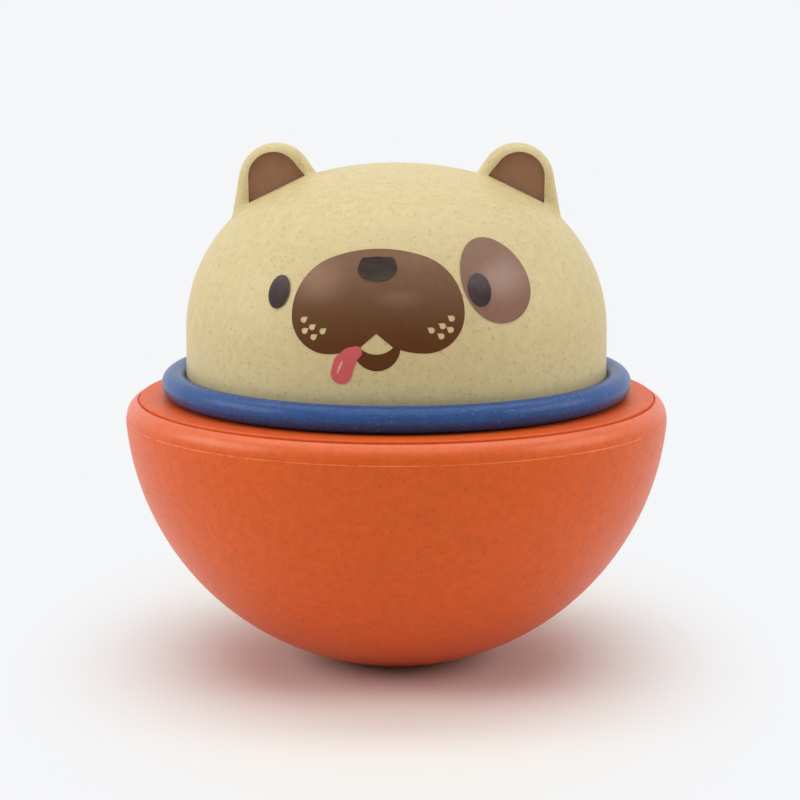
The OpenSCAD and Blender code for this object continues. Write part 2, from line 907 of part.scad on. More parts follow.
// A whisker dot: a round spot with a short tail that points up and to the middle
module whisker_dot() {
  root_x = 0.9 * dot_r;
  root_z = 0.3 * dot_r;
  circle(r = dot_r);
  rotate(-dot_lean)
    polygon([[root_x, root_z], [0, dot_tail], [-root_x, root_z]]);
}

// Five whisker dots on each jowl, left open in the print
module whisker_dots() {
  places = [[0.66, -0.09], [0.42, -0.28], [0.63, -0.39], [0.12, -0.38], [0.38, -0.55]];
  for (side = [0, 1], place = places)
    mirror([side, 0])
      translate([-jowl_x - place[0] * jowl_r, muzzle_z + place[1] * jowl_r])
        whisker_dot();
}

module muzzle_print() {
  color(brown)
    print_on_dome(0)
      difference() {
        muzzle_outline();
        whisker_dots();
      }
}

// An egg with its blunt end down and out
module eye_patch_print() {
  corners = 72;
  color(taupe)
    print_on_dome(1)
      translate([patch_x, patch_z])
        rotate(patch_lean)
          polygon([for (i = [1 : corners])
            let (c = cos(i * 360 / corners), s = sin(i * 360 / corners))
            [patch_w * c * (1 - patch_taper * s), patch_h * s]]);
}

module eye_prints() {
  color(ink_black)
    print_on_dome(2)
      for (side = [-1, 1])
        translate([side * eye_x, eye_z])
          rotate(side * eye_lean)
            scale([eye_w, eye_h])
              circle(r = 1);
}

// An oval with fuller upper corners
module nose_print() {
  color(ink_black)
    print_on_dome(1)
      translate([0, nose_z])
        hull($fn = 72) {
          scale([nose_w, nose_h])
            circle(r = 1);
          for (side = [-1, 1])
            translate([side * nose_x, nose_brow])
              circle(r = nose_r);
        }
}

// The lower lip: a crescent under the cleft
module mouth_print() {
  color(dark_brown)
    print_on_dome(0)
      translate([0, -lip_z])
        difference() {
          circle(r = mouth_r);
          translate([0, mouth_t])
            circle(r = mouth_r);
          translate([0, lip_z])
            muzzle_outline();
        }
}

// The tongue hangs out on one side of the mouth: rounds from its root over a bend to its tip,
// each with its place and radius in tongue radii
module tongue_print() {
  stops = [[0, 0, 0.56], [-0.63, -0.34, 0.78], [-1.22, -1.15, 1], [-1.49, -2.05, 1]];
  color(pink)
    print_on_dome(1)
      translate([-tongue_x, -tongue_z])
        for (i = [1 : len(stops) - 1])
          hull($fn = 48)
            for (stop = [stops[i - 1], stops[i]])
              translate([stop[0], stop[1]] * tongue_r)
                circle(r = stop[2] * tongue_r);
}

// A thin streak of light down the tongue's outer side
module tongue_shine_print() {
  place = [-tongue_x, -tongue_z] - [1.6, 1.43] * tongue_r;
  color(pale_pink)
    print_on_dome(2)
      translate(place)
        rotate(-shine_lean)
          scale([shine_w, shine_h])
            circle(r = 1);
}

module ear_prints() {
  low = ear_t / 2 - ear_dish + film_lift;
  color(brown)
    translate([0, 0, deck_z])
      for (side = [-1, 1])
        ear_field(side, low, low + film_t, film_lift);
}

bowl();
deck();
head_bush();
ballast();
ballast_screws();
chime_plate();
chime_rod(0);  // chime_rod_1
chime_rod(1);  // chime_rod_2
chime_rod(2);  // chime_rod_3
chime_rod(3);  // chime_rod_4
chime_bridge();
bridge_screws();
gimbal_pins();
gimbal_block();
clapper_fork();
clapper_pins();
clapper_ball();
head_shell();
collar();
head_floor();
head_screws();
spindle_washer();
spindle_screw();
muzzle_print();
eye_patch_print();
eye_prints();
nose_print();
mouth_print();
tongue_print();
tongue_shine_print();
ear_prints();
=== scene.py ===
"""Roly-poly dog toy: the looks of its mouldings, prints and inner works, and the studio around it."""
import json
import math

import bpy
import numpy as np
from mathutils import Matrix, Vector


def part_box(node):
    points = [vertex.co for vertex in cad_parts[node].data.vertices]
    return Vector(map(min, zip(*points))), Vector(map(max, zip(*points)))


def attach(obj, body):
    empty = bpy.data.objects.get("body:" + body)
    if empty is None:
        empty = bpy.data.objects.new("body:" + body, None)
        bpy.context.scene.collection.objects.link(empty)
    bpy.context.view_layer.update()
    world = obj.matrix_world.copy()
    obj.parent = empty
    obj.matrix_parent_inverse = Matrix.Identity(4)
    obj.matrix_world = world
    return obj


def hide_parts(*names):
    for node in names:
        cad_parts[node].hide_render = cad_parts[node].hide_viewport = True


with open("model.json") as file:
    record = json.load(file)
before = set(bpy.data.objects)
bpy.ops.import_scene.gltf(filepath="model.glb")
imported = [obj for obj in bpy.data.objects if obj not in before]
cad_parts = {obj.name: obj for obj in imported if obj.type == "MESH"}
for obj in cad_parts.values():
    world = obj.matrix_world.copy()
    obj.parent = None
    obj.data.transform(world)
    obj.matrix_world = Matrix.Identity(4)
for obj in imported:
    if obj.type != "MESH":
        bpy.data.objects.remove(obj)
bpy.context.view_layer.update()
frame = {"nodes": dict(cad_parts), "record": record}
nodes = frame["nodes"]

MM = 0.001
# Height of the bowl's centre, which the deck's top stands a little above
DECK_RISE = 0.15
DECK_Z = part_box("deck")[1][2] - DECK_RISE * MM

# Sizes of the mouldings in millimetres, heights measured from the bowl's centre
BOWL_R = 55.0
BOWL_WALL = 2.6
FOOT_R = 8.0
RIM_ROUND = 4.0
SEAM_R = 52.4
SEAM_EDGE = 0.12
LEDGE_W = 2.0
LEDGE_DROP = 2.6
SNAP_DROP = 7.0
SNAP_R = 1.0
BOSS_X = 21.0
BOSS_R = 3.4
BOSS_TOP = 12.0
PILOT_R = 1.42
PILOT_DEPTH = 7.0
HEAD_R = 42.5
HEAD_TOP = 47.0
HEAD_WALL = 2.4
HEAD_BASE = 3.8
CROWN_R = 65.0
SHOULDER_R = 31.3
SHOULDER_X = HEAD_R - SHOULDER_R
CROWN_Z = HEAD_TOP - CROWN_R
SHOULDER_Z = CROWN_Z + math.sqrt((CROWN_R - SHOULDER_R) ** 2 - SHOULDER_X ** 2)
CROWN_ANGLE = math.atan2(SHOULDER_Z - CROWN_Z, SHOULDER_X)
HEAD_BOSS_X = 33.0
HEAD_BOSS_R = 3.2
HEAD_BOSS_H = 14.0
HEAD_BOSS_BASE = 4.0
HEAD_PILOT_DEPTH = 8.0
HEAD_RIB = 1.6
EAR_X = 24.2
EAR_Z = 43.84
EAR_R = 7.45
EAR_T = 6.0
EAR_ROUND = 2.2
EAR_LEAN = math.radians(12.0)
EAR_FLARE = math.radians(22.0)
EAR_FIELD_R = 5.1
EAR_FIELD_LIFT = 0.9
EAR_FIELD_OUT = 0.4
EAR_FIELD_LEAN = math.radians(20.0)
EAR_FIELD_FLARE = math.radians(19.0)
EAR_SILL_DROP = 1.5
EAR_SILL_SLOPE = math.radians(26.0)
EAR_DISH = 0.9

# The bowl's parting: its place, how high its ridge stands and how its set-in side runs out
PARTING_DROP = 4.15
PARTING_H = 0.12
PARTING_REACH = 1.5
PARTING_FADE = -1.2
PARTING_FADE_L = 2.0
INSET_FALL = 0.35
RIDGE_HALF_W = 0.11
RIDGE_MEAN = 0.62
RIDGE_SWING = 0.6
RIDGE_SEED = 2.1
WAVES = ((3, 0.3), (7, 0.25), (13, 0.2), (29, 0.15), (47, 0.1))
WAVE_SHIFT = 1.7

# The fillet between ear and dome, small in the ear's middle plane and larger at its front and back
FILLET = 0.6
FILLET_GROWTH = 1.2
FILLET_NEAR = 1.4
FILLET_SPAN = 2.2

# How the meshes are made: margins of the cutting tools, the skin's grid, creases and numbers of steps
CUT_OVER = 1.0
FOOT_LOOP = 0.4
FINE_BELOW = math.radians(2.2)
FINE_ABOVE = math.radians(12.0)
TRIM_TOP = -0.2
SKIN_BASE = -1.0
SKIN_FREE = 2.0
WASTE_OVER = 5.0
WASTE_DROP = 3.0
SKIN_VOXEL = 0.42
SKIN_ROUNDS = 6
PROBE = 0.01
LEAST_SLOPE = 0.25
MOST_MOVE = 0.4
CREASE = math.radians(32.0)
SKIN_CREASE = math.radians(40.0)
ON_AXIS = 1e-6
QUARTER = math.pi / 2
TURNS = 256
DOME_TURNS = 160
TRIM_TURNS = 128
WASTE_TURNS = 64
POST_TURNS = 48
BOWL_STEPS = 88
FINE_BELOW_STEPS = 36
FINE_ABOVE_STEPS = 30
RIM_STEPS = 28
SEAM_EDGE_STEPS = 7
SNAP_STEPS = 13
CAVITY_STEPS = 60
TRIM_STEPS = 64
DOME_STEPS = 40
BOSS_TRIM_STEPS = 24
ARCH_STEPS = 90
ARCH_SIDE = 2.0


def link(obj):
    """Puts an object in the scene."""
    bpy.context.scene.collection.objects.link(obj)
    return obj


def mesh_object(name, verts, faces):
    """A mesh object from points in millimetres from the bowl's centre and lists of corners."""
    mesh = bpy.data.meshes.new(name)
    points = [(x * MM, y * MM, z * MM + DECK_Z) for x, y, z in verts]
    mesh.from_pydata(points, [], faces)
    mesh.validate()
    return link(bpy.data.objects.new(name, mesh))


def arc(cx, cz, r, start, end, count):
    """Points on an arc of a profile, angles in radians."""
    steps = [start + (end - start) * i / (count - 1) for i in range(count)]
    return [(cx + r * math.cos(a), cz + r * math.sin(a)) for a in steps]


def lathe(name, profile, turns=TURNS, shape=None):
    """Turns a profile of (radius, height) that starts on the axis; points on the axis stay single."""
    verts = []
    rings = []
    for r, z in profile:
        if r < ON_AXIS:
            rings.append([len(verts)] * turns)
            verts.append((0.0, 0.0, z))
            continue
        rings.append(list(range(len(verts), len(verts) + turns)))
        for i in range(turns):
            a = 2 * math.pi * i / turns
            rr = r + shape(r, z, a) if shape else r
            verts.append((rr * math.cos(a), rr * math.sin(a), z))
    faces = []
    for low, high in zip(rings, rings[1:]):
        for i in range(turns):
            j = (i + 1) % turns
            corners = [low[i], low[j], high[j], high[i]]
            faces.append(list(dict.fromkeys(corners)))
    return mesh_object(name, verts, faces)


def settle(obj):
    """Applies an object's modifiers to its mesh."""
    graph = bpy.context.evaluated_depsgraph_get()
    mesh = bpy.data.meshes.new_from_object(obj.evaluated_get(graph))
    obj.modifiers.clear()
    old = obj.data
    obj.data = mesh
    bpy.data.meshes.remove(old)
    mesh.name = obj.name
    return obj


def combine(obj, tool, operation):
    """Joins, cuts or intersects one solid with another, which is used up."""
    step = obj.modifiers.new("combine", "BOOLEAN")
    step.object = tool
    step.operation = operation
    step.solver = "MANIFOLD"
    settle(obj)
    bpy.data.objects.remove(tool)
    return obj


def smooth(obj, crease=CREASE):
    """Smooth shading with creases kept where faces meet at more than the angle."""
    obj.data.polygons.foreach_set("use_smooth", [True] * len(obj.data.polygons))
    obj.data.set_sharp_from_angle(angle=crease)
    return obj


def thirds():
    """The three angles of the screws, the first at the back."""
    return [math.radians(90 + 120 * i) for i in range(3)]


def post(name, x, angle, r, low, high, turns=POST_TURNS):
    """An upright cylinder beside the axis."""
    obj = lathe(name, [(0.0, low), (r, low), (r, high), (0.0, high)], turns)
    move = np.array([x * math.cos(angle), x * math.sin(angle), 0.0]) * MM
    for v in obj.data.vertices:
        v.co += Vector(move)
    return obj


def slab(name, angle, x0, x1, width, low, high):
    """An upright rib that runs out from the axis."""
    c, s = math.cos(angle), math.sin(angle)
    flat = [(x0, -width / 2), (x1, -width / 2), (x1, width / 2), (x0, width / 2)]
    ring = [(x * c - y * s, x * s + y * c) for x, y in flat]
    verts = [(x, y, low) for x, y in ring] + [(x, y, high) for x, y in ring]
    faces = [[3, 2, 1, 0], [4, 5, 6, 7]]
    faces += [[i, (i + 1) % 4, 4 + (i + 1) % 4, 4 + i] for i in range(4)]
    return mesh_object(name, verts, faces)


def waver(angle, seed):
    """A slow irregular wave round the axis, from -1 to 1."""
    return sum(w * math.sin(n * angle + seed * n * WAVE_SHIFT) for n, w in WAVES)


def parting_line(r, z, angle):
    """Mould mismatch under the rim: a set-in upper side and a fine broken ridge of flash."""
    if r < BOWL_R - BOWL_WALL or z > PARTING_FADE or z < -PARTING_DROP - PARTING_REACH:
        return 0.0
    above = z + PARTING_DROP
    ridge = min(1.0, max(0.0, RIDGE_MEAN + RIDGE_SWING * waver(angle, RIDGE_SEED)))
    fade = min(1.0, (PARTING_FADE - z) / PARTING_FADE_L)
    inset = fade if above > 0 else math.exp(-(above / INSET_FALL) ** 2)
    return PARTING_H * (ridge * math.exp(-(above / RIDGE_HALF_W) ** 2) - inset)


def bowl_profile():
    """Outline of the bowl's wall, from the middle of the foot over the rim to the cavity's bottom."""
    rim_x = math.sqrt((BOWL_R - RIM_ROUND) ** 2 - RIM_ROUND ** 2)
    rim_start = math.atan2(-RIM_ROUND, rim_x)
    foot_z = -math.sqrt(BOWL_R ** 2 - FOOT_R ** 2)
    foot_angle = math.atan2(foot_z, FOOT_R)
    fine_start = rim_start - FINE_BELOW
    fine_end = rim_start + FINE_ABOVE
    cavity_r = BOWL_R - BOWL_WALL
    bore_r = SEAM_R - LEDGE_W
    edge_x = SEAM_R + SEAM_EDGE
    edge_angle = math.acos((edge_x - rim_x) / (RIM_ROUND - SEAM_EDGE))
    edge_z = -RIM_ROUND + (RIM_ROUND - SEAM_EDGE) * math.sin(edge_angle)
    cavity_top = -math.acos(bore_r / cavity_r)
    profile = [(0.0, foot_z), (FOOT_R - FOOT_LOOP, foot_z)]
    profile += arc(0, 0, BOWL_R, foot_angle, fine_start, BOWL_STEPS)
    profile += arc(0, 0, BOWL_R, fine_start, rim_start, FINE_BELOW_STEPS)[1:]
    profile += arc(rim_x, -RIM_ROUND, RIM_ROUND, rim_start, fine_end, FINE_ABOVE_STEPS)[1:]
    profile += arc(rim_x, -RIM_ROUND, RIM_ROUND, fine_end, edge_angle, RIM_STEPS)[1:]
    profile += arc(edge_x, edge_z, SEAM_EDGE, edge_angle, math.pi, SEAM_EDGE_STEPS)[1:]
    profile += [(SEAM_R, -LEDGE_DROP), (bore_r, -LEDGE_DROP)]
    profile += arc(bore_r, -SNAP_DROP, SNAP_R, QUARTER, -QUARTER, SNAP_STEPS)
    return profile + arc(0, 0, cavity_r, cavity_top, -QUARTER, CAVITY_STEPS)


def make_bowl():
    """The bowl with its parting and the three bosses for the ballast's screws."""
    bowl = lathe("bowl_moulding", bowl_profile(), shape=parting_line)
    trim = arc(0, 0, BOWL_R - BOWL_WALL / 2, -QUARTER, TRIM_TOP, TRIM_STEPS) + [(0.0, 0.0)]
    ball = lathe("wall_middle", trim, TRIM_TURNS)
    bottom = -DECK_Z / MM + CUT_OVER
    top = BOSS_TOP - DECK_Z / MM
    posts = [post("boss", BOSS_X, a, BOSS_R, bottom, top) for a in thirds()]
    for item in posts[1:]:
        combine(posts[0], item, "UNION")
    combine(posts[0], ball, "INTERSECT")
    combine(bowl, posts[0], "UNION")
    for a in thirds():
        drill = post("pilot", BOSS_X, a, PILOT_R, top - PILOT_DEPTH, top + CUT_OVER)
        combine(bowl, drill, "DIFFERENCE")
    return smooth(bowl)


def dome_profile(grow, base, count):
    """Half outline of the head's dome, from its base to the top."""
    side = [(HEAD_R + grow, base), (HEAD_R + grow, (base + SHOULDER_Z) / 2)]
    shoulder = arc(SHOULDER_X, SHOULDER_Z, SHOULDER_R + grow, 0, CROWN_ANGLE, count)
    crown = arc(0, CROWN_Z, CROWN_R + grow, CROWN_ANGLE, QUARTER, count)[1:]
    return side + shoulder + crown[:-1] + [(0.0, HEAD_TOP + grow)]


def soft_min(a, b, k):
    """The smaller of two distances, blended over a width."""
    h = np.clip(0.5 + 0.5 * (b - a) / k, 0.0, 1.0)
    return b + (a - b) * h - k * h * (1.0 - h)


def dome_distance(p):
    """Distance to the dome: an upright side, a round shoulder and a flatter crown."""
    rho = np.hypot(p[:, 0], p[:, 1])
    up = p[:, 2]
    crown = np.hypot(rho, up - CROWN_Z) - CROWN_R
    shoulder = np.hypot(rho - SHOULDER_X, up - SHOULDER_Z) - SHOULDER_R
    side = rho - HEAD_R
    on_crown = np.arctan2(up - CROWN_Z, rho) > CROWN_ANGLE
    return np.where(up < SHOULDER_Z, side, np.where(on_crown, crown, shoulder))


def slab_distance(flat, depth, half, rounding):
    """Distance to a flat outline given thickness, with rounded edges."""
    u = flat + rounding
    v = np.abs(depth) - half + rounding
    outside = np.hypot(np.maximum(u, 0.0), np.maximum(v, 0.0))
    return np.minimum(np.maximum(u, v), 0.0) + outside - rounding


def ear_outline(out, up):
    """Distance to a leaning outline with a round top and straight sides that spread downwards."""
    across = out * math.cos(EAR_LEAN) - up * math.sin(EAR_LEAN)
    along = out * math.sin(EAR_LEAN) + up * math.cos(EAR_LEAN)
    side = np.abs(across) * math.cos(EAR_FLARE) + along * math.sin(EAR_FLARE) - EAR_R
    below = np.abs(across) * math.sin(EAR_FLARE) - along * math.cos(EAR_FLARE) > 0
    return np.where(below, side, np.hypot(across, along) - EAR_R)


def head_distance(p):
    """Distance to the head's skin: dome and ears, with soft fillets between them."""
    skin = dome_distance(p)
    blend = np.clip((np.abs(p[:, 1]) - FILLET_NEAR) / FILLET_SPAN, 0.0, 1.0)
    fillet = FILLET + FILLET_GROWTH * blend * blend * (3 - 2 * blend)
    for side in (-1, 1):
        flat = ear_outline(side * p[:, 0] - EAR_X, p[:, 2] - EAR_Z)
        ear = slab_distance(flat, p[:, 1], EAR_T / 2, EAR_ROUND)
        skin = soft_min(skin, ear, fillet)
    return skin


def lie_on_skin(p):
    """Moves points along the slope of the distance until they lie on the head's skin."""
    axes = np.eye(3) * PROBE
    for _ in range(SKIN_ROUNDS):
        d = head_distance(p)
        rise = [head_distance(p + a) - head_distance(p - a) for a in axes]
        slope = np.stack(rise, 1) / (2 * PROBE)
        length = np.maximum((slope * slope).sum(1), LEAST_SLOPE)
        p = p - np.clip(d / length, -MOST_MOVE, MOST_MOVE)[:, None] * slope
    return p


def prism(name, side, outline, front, back):
    """A flat outline at an ear, given a depth; the outline is drawn for the ear on the right."""
    ring = [(side * out, up) for out, up in outline][::side]
    n = len(ring)
    verts = [(side * EAR_X + x, y, EAR_Z + z) for y in (front, back) for x, z in ring]
    faces = [list(range(n)), list(range(2 * n - 1, n - 1, -1))]
    faces += [[i + n, (i + 1) % n + n, (i + 1) % n, i] for i in range(n)]
    return mesh_object(name, verts, faces)


def arch(r, flare, lean):
    """A leaning outline with a round top and straight sides that spread downwards, anticlockwise."""
    turn = [flare + (math.pi - 2 * flare) * i / ARCH_STEPS for i in range(ARCH_STEPS + 1)]
    ring = [(r * math.cos(a), r * math.sin(a)) for a in turn]
    foot_x = ring[0][0] + ARCH_SIDE * r * math.sin(flare)
    foot_z = ring[0][1] - ARCH_SIDE * r * math.cos(flare)
    ring += [(-foot_x, foot_z), (foot_x, foot_z)]
    c, s = math.cos(lean), math.sin(lean)
    return [(across * c + along * s, along * c - across * s) for across, along in ring]


def inner_ear():
    """Outline of the inner ear: an arch cut off by a straight sill that slopes down and outwards."""
    c, s = math.cos(EAR_SILL_SLOPE), math.sin(EAR_SILL_SLOPE)
    ring = [(EAR_FIELD_OUT + x, EAR_FIELD_LIFT + z)
            for x, z in arch(EAR_FIELD_R, EAR_FIELD_FLARE, EAR_FIELD_LEAN)]
    above = [x * s + z * c + EAR_SILL_DROP for x, z in ring]
    kept = []
    for i, (x, z) in enumerate(ring):
        last_x, last_z = ring[i - 1]
        if above[i] * above[i - 1] < 0:
            t = above[i - 1] / (above[i - 1] - above[i])
            kept.append((last_x + (x - last_x) * t, last_z + (z - last_z) * t))
        if above[i] >= 0:
            kept.append((x, z))
    return kept


def round_skin(skin):
    """Remakes the joined dome and ears on a fine grid and draws the grid onto the head's skin."""
    grid = skin.modifiers.new("skin", "REMESH")
    grid.mode = "VOXEL"
    grid.voxel_size = SKIN_VOXEL * MM
    settle(skin)
    mesh = skin.data
    points = np.empty(len(mesh.vertices) * 3)
    mesh.vertices.foreach_get("co", points)
    points = points.reshape(-1, 3) / MM
    points[:, 2] -= DECK_Z / MM
    upper = points[:, 2] > SKIN_BASE + SKIN_FREE
    points[upper] = lie_on_skin(points[upper])
    points[:, 2] += DECK_Z / MM
    mesh.vertices.foreach_set("co", (points * MM).ravel())
    mesh.update()


def head_bosses(low):
    """The three screw bosses with their ribs, trimmed to the middle of the head's wall."""
    trim = [(0.0, HEAD_BOSS_BASE)]
    trim += dome_profile(-HEAD_WALL / 2, HEAD_BOSS_BASE, BOSS_TRIM_STEPS)
    inside = lathe("inside", trim, TRIM_TURNS)
    high = HEAD_BOSS_BASE + HEAD_BOSS_H
    bosses = None
    for a in thirds():
        item = post("boss", HEAD_BOSS_X, a, HEAD_BOSS_R, low, high)
        rib = slab("rib", a, HEAD_BOSS_X, HEAD_R, HEAD_RIB, low, high)
        combine(item, rib, "UNION")
        bosses = combine(bosses, item, "UNION") if bosses else item
    return combine(bosses, inside, "INTERSECT")


def make_head():
    """The head: dome and ears in one skin, dished inner ears, the hollow and the screw bosses."""
    outside = [(0.0, SKIN_BASE)] + dome_profile(0, SKIN_BASE, DOME_STEPS)
    skin = lathe("head_moulding", outside, DOME_TURNS)
    for side in (-1, 1):
        ear = prism("ear", side, arch(EAR_R, EAR_FLARE, EAR_LEAN), -EAR_T / 2, EAR_T / 2)
        combine(skin, ear, "UNION")
    round_skin(skin)
    for side in (-1, 1):
        dish = prism("dish", side, inner_ear(), -2 * EAR_T, EAR_DISH - EAR_T / 2)
        combine(skin, dish, "DIFFERENCE")
    mouth = SKIN_BASE - CUT_OVER
    hollow = lathe("hollow", [(0.0, mouth)] + dome_profile(-HEAD_WALL, mouth, DOME_STEPS), DOME_TURNS)
    combine(skin, hollow, "DIFFERENCE")
    waste = post("waste", 0.0, 0.0, HEAD_R + WASTE_OVER, SKIN_BASE - WASTE_DROP, HEAD_BASE, WASTE_TURNS)
    combine(skin, waste, "DIFFERENCE")
    low = HEAD_BOSS_BASE - CUT_OVER
    combine(skin, head_bosses(low), "UNION")
    for a in thirds():
        drill = post("pilot", HEAD_BOSS_X, a, PILOT_R, low, HEAD_BOSS_BASE + HEAD_PILOT_DEPTH)
        combine(skin, drill, "DIFFERENCE")
    return smooth(skin, SKIN_CREASE)


# Shader building blocks


def group_with(name, inputs, outputs):
    """An empty shader group with named sockets, and its two end nodes."""
    group = bpy.data.node_groups.new(name, "ShaderNodeTree")
    for label, kind, value in inputs:
        socket = group.interface.new_socket(label, in_out="INPUT", socket_type=kind)
        socket.default_value = value
    for label, kind in outputs:
        group.interface.new_socket(label, in_out="OUTPUT", socket_type=kind)
    return group, group.nodes.new("NodeGroupInput"), group.nodes.new("NodeGroupOutput")


def feed(tree, socket, value):
    """Links another node's output to an input, or sets the input to a plain value."""
    if isinstance(value, bpy.types.NodeSocket):
        tree.links.new(value, socket)
    else:
        socket.default_value = value


def add(tree, kind, **values):
    """A node with its settings; keys that start with in_ give its inputs by name or number."""
    node = tree.nodes.new(kind)
    for key, value in values.items():
        if key.startswith("in_"):
            label = key[3:]
            feed(tree, node.inputs[int(label) if label.isdigit() else label], value)
        else:
            setattr(node, key, value)
    return node


def math_node(tree, operation, *values, clamp=False):
    """The result of one arithmetic step on up to three values."""
    node = add(tree, "ShaderNodeMath", operation=operation, use_clamp=clamp)
    for socket, value in zip(node.inputs, values):
        feed(tree, socket, value)
    return node.outputs[0]


def vector_node(tree, operation, a, b):
    """The vector made of two vectors, or of a vector and the value that scales it."""
    node = add(tree, "ShaderNodeVectorMath", operation=operation, in_0=a)
    feed(tree, node.inputs["Scale" if operation == "SCALE" else 1], b)
    return node.outputs["Vector"]


def length_of(tree, vector):
    """The length of a vector."""
    return add(tree, "ShaderNodeVectorMath", operation="LENGTH", in_0=vector).outputs["Value"]


def own_place(tree):
    """Where a point lies in its object's own frame."""
    return add(tree, "ShaderNodeTexCoord").outputs["Object"]


def height_of(tree, place):
    """How high a point lies."""
    return add(tree, "ShaderNodeSeparateXYZ", in_0=place).outputs["Z"]


def span(tree, value, low, high, to_low=0.0, to_high=1.0):
    """A soft step of a value between two ends."""
    node = add(tree, "ShaderNodeMapRange", interpolation_type="SMOOTHSTEP")
    for label, v in zip(("Value", "From Min", "From Max", "To Min", "To Max"),
                        (value, low, high, to_low, to_high)):
        feed(tree, node.inputs[label], v)
    return node.outputs["Result"]


# Places of the colour sockets on a mix node
MIX_FACTOR, MIX_A, MIX_B, MIX_RESULT = 0, 6, 7, 2


def blend_colour(tree, factor, a, b):
    """Two colours mixed by a factor."""
    node = add(tree, "ShaderNodeMix", data_type="RGBA")
    for index, v in ((MIX_FACTOR, factor), (MIX_A, a), (MIX_B, b)):
        feed(tree, node.inputs[index], v)
    return node.outputs[MIX_RESULT]


def rgb(r, g, b):
    """A colour given in display levels from 0 to 255, as linear values."""
    def lin(v):
        v /= 255.0
        return v / 12.92 if v <= 0.04045 else ((v + 0.055) / 1.055) ** 2.4
    return (lin(r), lin(g), lin(b), 1.0)


# Speckle: scales of its noises per metre, and each kind of fleck as shares of the moulding's own values
WOBBLE_SCALE = 1500.0
WOBBLE_DETAIL = 2.0
WOBBLE_REACH = 0.0007
NOISE_MIDDLE = (0.5, 0.5, 0.5)
FLECK_CORE = 0.45
FLECK_LEAST = 0.3
FINE_CELLS = 2.3
LARGE_CELLS = 0.55
PALE_CELLS = 1.37
LARGE_SIZE = 0.75
WEAK_STRENGTH = 0.6
MOTTLE_SCALE = 520.0
MOTTLE_DETAIL = 5.0
MOTTLE_SPAN = (0.3, 0.7)
PIT_SCALE = 2600.0
PIT_DETAIL = 3.0


def make_husk_speckle():
    """Plant-fibre flecks in a moulding: dark flecks, pale flecks and a slow mottle."""
    tree, start, end = group_with(
        "husk_speckle",
        (("Ground", "NodeSocketColor", (0.8, 0.7, 0.4, 1)),
         ("Fleck", "NodeSocketColor", (0.3, 0.2, 0.1, 1)),
         ("Pale", "NodeSocketColor", (0.9, 0.85, 0.7, 1)),
         ("Cells", "NodeSocketFloat", 800.0),
         ("Fleck Size", "NodeSocketFloat", 0.3),
         ("Fleck Strength", "NodeSocketFloat", 0.5),
         ("Pale Size", "NodeSocketFloat", 0.2),
         ("Pale Strength", "NodeSocketFloat", 0.3),
         ("Mottle", "NodeSocketFloat", 0.05),
         ("Stretch", "NodeSocketVector", (1.0, 1.0, 1.0))),
        (("Color", "NodeSocketColor"), ("Grain", "NodeSocketFloat")))
    given = start.outputs
    coords = own_place(tree)
    place = vector_node(tree, "MULTIPLY", coords, given["Stretch"])
    wobble = add(tree, "ShaderNodeTexNoise", in_Vector=place, in_Scale=WOBBLE_SCALE,
                 in_Detail=WOBBLE_DETAIL)
    shift = vector_node(tree, "SUBTRACT", wobble.outputs["Color"], NOISE_MIDDLE)
    bent = vector_node(tree, "ADD", place, vector_node(tree, "SCALE", shift, WOBBLE_REACH))

    def flecks(scale, size, strength):
        """Mask of flecks, one to a cell, of uneven size and depth."""
        cells = add(tree, "ShaderNodeTexVoronoi", in_Vector=bent, in_Scale=scale)
        chance = add(tree, "ShaderNodeSeparateColor", in_Color=cells.outputs["Color"])
        radius = math_node(tree, "MULTIPLY", math_node(tree, "POWER", chance.outputs[0], 2.0), size)
        core = math_node(tree, "MULTIPLY", radius, FLECK_CORE)
        mask = span(tree, cells.outputs["Distance"], radius, core)
        depth = math_node(tree, "MULTIPLY_ADD", chance.outputs[1], 1.0 - FLECK_LEAST, FLECK_LEAST)
        mask = math_node(tree, "MULTIPLY", mask, depth)
        return math_node(tree, "MULTIPLY", mask, strength, clamp=True)

    cells = given["Cells"]
    size = given["Fleck Size"]
    weak = math_node(tree, "MULTIPLY", given["Fleck Strength"], WEAK_STRENGTH)
    dark = flecks(cells, size, given["Fleck Strength"])
    fine = flecks(math_node(tree, "MULTIPLY", cells, FINE_CELLS), size, weak)
    large = flecks(math_node(tree, "MULTIPLY", cells, LARGE_CELLS),
                   math_node(tree, "MULTIPLY", size, LARGE_SIZE), weak)
    mask = math_node(tree, "MAXIMUM", math_node(tree, "MAXIMUM", dark, fine), large)
    light = flecks(math_node(tree, "MULTIPLY", cells, PALE_CELLS), given["Pale Size"],
                   given["Pale Strength"])
    slow = add(tree, "ShaderNodeTexNoise", in_Vector=coords, in_Scale=MOTTLE_SCALE,
               in_Detail=MOTTLE_DETAIL)
    shade = span(tree, slow.outputs["Fac"], *MOTTLE_SPAN, -1.0, 1.0)
    shade = math_node(tree, "MULTIPLY_ADD", shade, given["Mottle"], 1.0)
    ground = vector_node(tree, "SCALE", given["Ground"], shade)
    colour = blend_colour(tree, mask, ground, given["Fleck"])
    colour = blend_colour(tree, light, colour, given["Pale"])
    pits = add(tree, "ShaderNodeTexNoise", in_Vector=coords, in_Scale=PIT_SCALE, in_Detail=PIT_DETAIL)
    tree.links.new(colour, end.inputs["Color"])
    tree.links.new(pits.outputs["Fac"], end.inputs["Grain"])
    return tree


GRAIN_SPAN = (0.25, 0.75)


